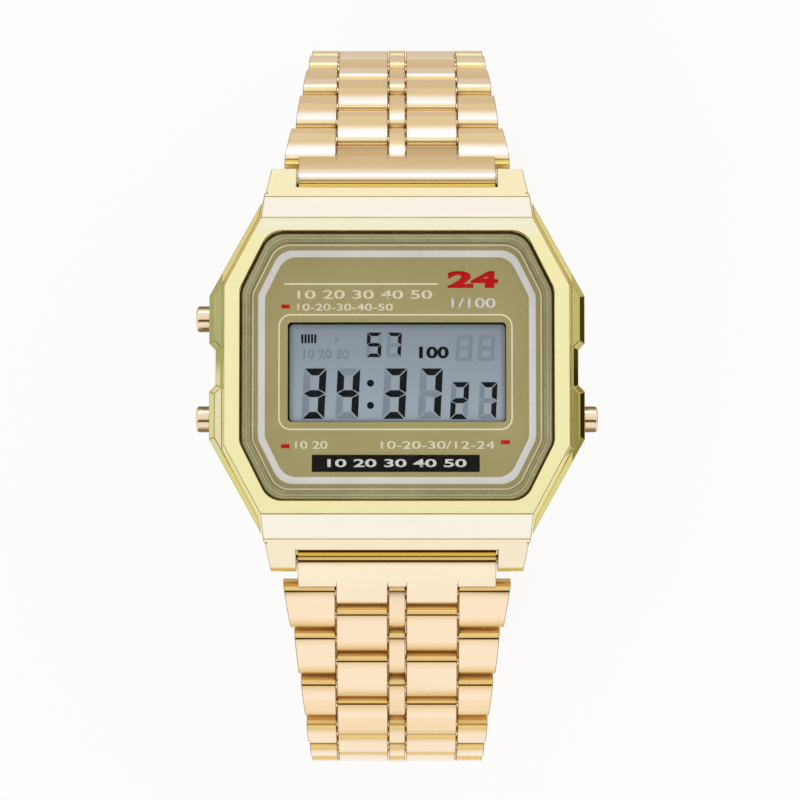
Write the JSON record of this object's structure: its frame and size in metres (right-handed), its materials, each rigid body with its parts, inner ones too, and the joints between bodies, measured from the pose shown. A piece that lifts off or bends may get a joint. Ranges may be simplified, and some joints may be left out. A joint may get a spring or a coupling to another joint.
{
  "type": "digital wrist watch with link bracelet",
  "caption": "Gold-coloured digital wrist watch: faceted case with side pushers and rectangular display, on a five-row tapering link bracelet closed by a fold-over clasp.",
  "frame": {"origin": "on the surface that the clasp's flat stands on, under the middle of the watch's outline", "axes": "+X to 3 o'clock, +Y to 12 o'clock, +Z out of the dial"},
  "size_m": [0.036, 0.0682, 0.0467],
  "materials": {
    "case_gold": "polished yellow gold plating",
    "bracelet_gold": "polished rose gold plating",
    "pusher_gold": "polished plating",
    "steel": "brushed",
    "clear_glass": "clear",
    "display_glass": "satin",
    "face_print": "metallic print",
    "reflector_film": "satin film",
    "clear_plastic": "clear",
    "black_plastic": "moulded",
    "green_board": "lacquered",
    "black_rubber": "smooth",
    "striped_rubber": "layered",
    "bare_brass": "plain"
  },
  "bodies": {
    "head": {"case_body": "case_gold", "crystal": "clear_glass", "crystal_gasket": "black_rubber", "face_panel": "face_print", "lcd_glass": "display_glass", "lcd_reflector": "reflector_film", "light_guide": "clear_plastic", "lamp": "clear_plastic", "connector_strips": "striped_rubber", "module_frame": "black_plastic", "circuit_board": "green_board", "controller_chip": "black_plastic", "quartz_can": "steel", "battery": "steel", "battery_clip": "steel", "buzzer_disc": "bare_brass", "buzzer_spring": "steel", "case_back": "steel", "case_back_gasket": "black_rubber", "case_back_screws": "steel", "pusher_seals": "black_rubber", "lug_spring_bars": "steel", "pusher_spring_upper_left": "steel", "pusher_spring_lower_left": "steel", "pusher_spring_lower_right": "steel"},
    "pusher_upper_left": {"pusher_upper_left": "pusher_gold"},
    "pusher_lower_left": {"pusher_lower_left": "pusher_gold"},
    "pusher_lower_right": {"pusher_lower_right": "pusher_gold"},
    "end_piece_12": {"end_piece_12": "bracelet_gold"},
    "link_12_01": {"link_12_01": "bracelet_gold"},
    "link_12_02": {"link_12_02": "bracelet_gold"},
    "link_12_03": {"link_12_03": "bracelet_gold"},
    "link_12_04": {"link_12_04": "bracelet_gold"},
    "link_12_05": {"link_12_05": "bracelet_gold"},
    "link_12_06": {"link_12_06": "bracelet_gold"},
    "link_12_07": {"link_12_07": "bracelet_gold"},
    "link_12_08": {"link_12_08": "bracelet_gold"},
    "link_12_09": {"link_12_09": "bracelet_gold"},
    "link_12_10": {"link_12_10": "bracelet_gold"},
    "end_piece_6": {"end_piece_6": "bracelet_gold"},
    "link_6_01": {"link_6_01": "bracelet_gold"},
    "link_6_02": {"link_6_02": "bracelet_gold"},
    "link_6_03": {"link_6_03": "bracelet_gold"},
    "link_6_04": {"link_6_04": "bracelet_gold"},
    "link_6_05": {"link_6_05": "bracelet_gold"},
    "link_6_06": {"link_6_06": "bracelet_gold"},
    "link_6_07": {"link_6_07": "bracelet_gold"},
    "link_6_08": {"link_6_08": "bracelet_gold"},
    "link_6_09": {"link_6_09": "bracelet_gold"},
    "link_6_10": {"link_6_10": "bracelet_gold"},
    "link_6_11": {"link_6_11": "bracelet_gold", "clasp_spring_bar": "steel"},
    "inner_blade": {"clasp_inner_blade": "steel", "clasp_link_pin": "steel"},
    "middle_blade": {"clasp_middle_blade": "steel", "clasp_blade_pin": "steel"},
    "cover": {"clasp_cover": "bracelet_gold", "clasp_cover_pin": "steel"}
  },
  "joints": [
    {"name": "press_upper_left", "type": "slide", "parent": "head", "child": "pusher_upper_left", "axis": [1, 0, 0], "range_m": [0, 0.0005], "stiffness_N_per_m": 1500, "springref_m": -0.0004, "deforming": ["pusher_spring_upper_left"]},
    {"name": "press_lower_left", "type": "slide", "parent": "head", "child": "pusher_lower_left", "axis": [1, 0, 0], "range_m": [0, 0.0005], "stiffness_N_per_m": 1500, "springref_m": -0.0004, "deforming": ["pusher_spring_lower_left"]},
    {"name": "press_lower_right", "type": "slide", "parent": "head", "child": "pusher_lower_right", "axis": [-1, 0, 0], "range_m": [0, 0.0005], "stiffness_N_per_m": 1500, "springref_m": -0.0004, "deforming": ["pusher_spring_lower_right"]},
    {"name": "lug_hinge_12", "type": "hinge", "parent": "head", "child": "end_piece_12", "pos_m": [0, 0.01874, 0.04055], "axis": [1, 0, 0], "range_deg": [0, 38]},
    {"name": "hinge_12_01", "type": "hinge", "parent": "end_piece_12", "child": "link_12_01", "pos_m": [0, 0.0212, 0.03863], "axis": [1, 0, 0], "range_deg": [0, 3.5]},
    {"name": "hinge_12_02", "type": "hinge", "parent": "link_12_01", "child": "link_12_02", "pos_m": [0, 0.02482, 0.03564], "axis": [1, 0, 0], "range_deg": [0, 5.5]},
    {"name": "hinge_12_03", "type": "hinge", "parent": "link_12_02", "child": "link_12_03", "pos_m": [0, 0.02826, 0.03244], "axis": [1, 0, 0], "range_deg": [0, 15]},
    {"name": "hinge_12_04", "type": "hinge", "parent": "link_12_03", "child": "link_12_04", "pos_m": [0, 0.03089, 0.02854], "axis": [1, 0, 0], "range_deg": [0, 17]},
    {"name": "hinge_12_05", "type": "hinge", "parent": "link_12_04", "child": "link_12_05", "pos_m": [0, 0.03242, 0.0241], "axis": [1, 0, 0], "range_deg": [0, 14]},
    {"name": "hinge_12_06", "type": "hinge", "parent": "link_12_05", "child": "link_12_06", "pos_m": [0, 0.03299, 0.01943], "axis": [1, 0, 0], "range_deg": [0, 23.8]},
    {"name": "hinge_12_07", "type": "hinge", "parent": "link_12_06", "child": "link_12_07", "pos_m": [0, 0.03179, 0.01489], "axis": [1, 0, 0], "range_deg": [0, 20.3]},
    {"name": "hinge_12_08", "type": "hinge", "parent": "link_12_07", "child": "link_12_08", "pos_m": [0, 0.02923, 0.01095], "axis": [1, 0, 0], "range_deg": [0, 16.6]},
    {"name": "hinge_12_09", "type": "hinge", "parent": "link_12_08", "child": "link_12_09", "pos_m": [0, 0.02575, 0.00779], "axis": [1, 0, 0], "range_deg": [0, 12.9]},
    {"name": "hinge_12_10", "type": "hinge", "parent": "link_12_09", "child": "link_12_10", "pos_m": [0, 0.02174, 0.00533], "axis": [1, 0, 0], "range_deg": [0, 8.9]},
    {"name": "lug_hinge_6", "type": "hinge", "parent": "head", "child": "end_piece_6", "pos_m": [0, -0.01526, 0.04055], "axis": [-1, 0, 0], "range_deg": [0, 24]},
    {"name": "hinge_6_01", "type": "hinge", "parent": "end_piece_6", "child": "link_6_01", "pos_m": [0, -0.01811, 0.03928], "axis": [-1, 0, 0], "range_deg": [0, 4]},
    {"name": "hinge_6_02", "type": "hinge", "parent": "link_6_01", "child": "link_6_02", "pos_m": [0, -0.02234, 0.03722], "axis": [-1, 0, 0], "range_deg": [0, 4]},
    {"name": "hinge_6_03", "type": "hinge", "parent": "link_6_02", "child": "link_6_03", "pos_m": [0, -0.02649, 0.03502], "axis": [-1, 0, 0], "range_deg": [0, 16]},
    {"name": "hinge_6_04", "type": "hinge", "parent": "link_6_03", "child": "link_6_04", "pos_m": [0, -0.02998, 0.03187], "axis": [-1, 0, 0], "range_deg": [0, 27]},
    {"name": "hinge_6_05", "type": "hinge", "parent": "link_6_04", "child": "link_6_05", "pos_m": [0, -0.03182, 0.02755], "axis": [-1, 0, 0], "range_deg": [0, 13]},
    {"name": "hinge_6_06", "type": "hinge", "parent": "link_6_05", "child": "link_6_06", "pos_m": [0, -0.03279, 0.02295], "axis": [-1, 0, 0], "range_deg": [0, 12]},
    {"name": "hinge_6_07", "type": "hinge", "parent": "link_6_06", "child": "link_6_07", "pos_m": [0, -0.03296, 0.01825], "axis": [-1, 0, 0], "range_deg": [0, 25.4]},
    {"name": "hinge_6_08", "type": "hinge", "parent": "link_6_07", "child": "link_6_08", "pos_m": [0, -0.03124, 0.01388], "axis": [-1, 0, 0], "range_deg": [0, 20.3]},
    {"name": "hinge_6_09", "type": "hinge", "parent": "link_6_08", "child": "link_6_09", "pos_m": [0, -0.02824, 0.01026], "axis": [-1, 0, 0], "range_deg": [0, 15.4]},
    {"name": "hinge_6_10", "type": "hinge", "parent": "link_6_09", "child": "link_6_10", "pos_m": [0, -0.02447, 0.00744], "axis": [-1, 0, 0], "range_deg": [0, 10.9]},
    {"name": "hinge_6_11", "type": "hinge", "parent": "link_6_10", "child": "link_6_11", "pos_m": [0, -0.02032, 0.00524], "axis": [-1, 0, 0], "range_deg": [0, 6.7]},
    {"name": "clasp_swing", "type": "hinge", "parent": "link_12_10", "child": "inner_blade", "pos_m": [0, 0.01746, 0.00338], "axis": [1, 0, 0], "range_deg": [0, 30]},
    {"name": "blade_fold", "type": "hinge", "parent": "inner_blade", "child": "middle_blade", "pos_m": [0, -0.01119, 0.00309], "axis": [-1, 0, 0], "range_deg": [0, 140]},
    {"name": "cover_fold", "type": "hinge", "parent": "middle_blade", "child": "cover", "pos_m": [0, 0.01271, 0.00239], "axis": [1, 0, 0], "range_deg": [0, 140]}
  ],
  "couplings": [
    {"joint": "cover_fold", "follows": "blade_fold", "ratio": 1}
  ]
}
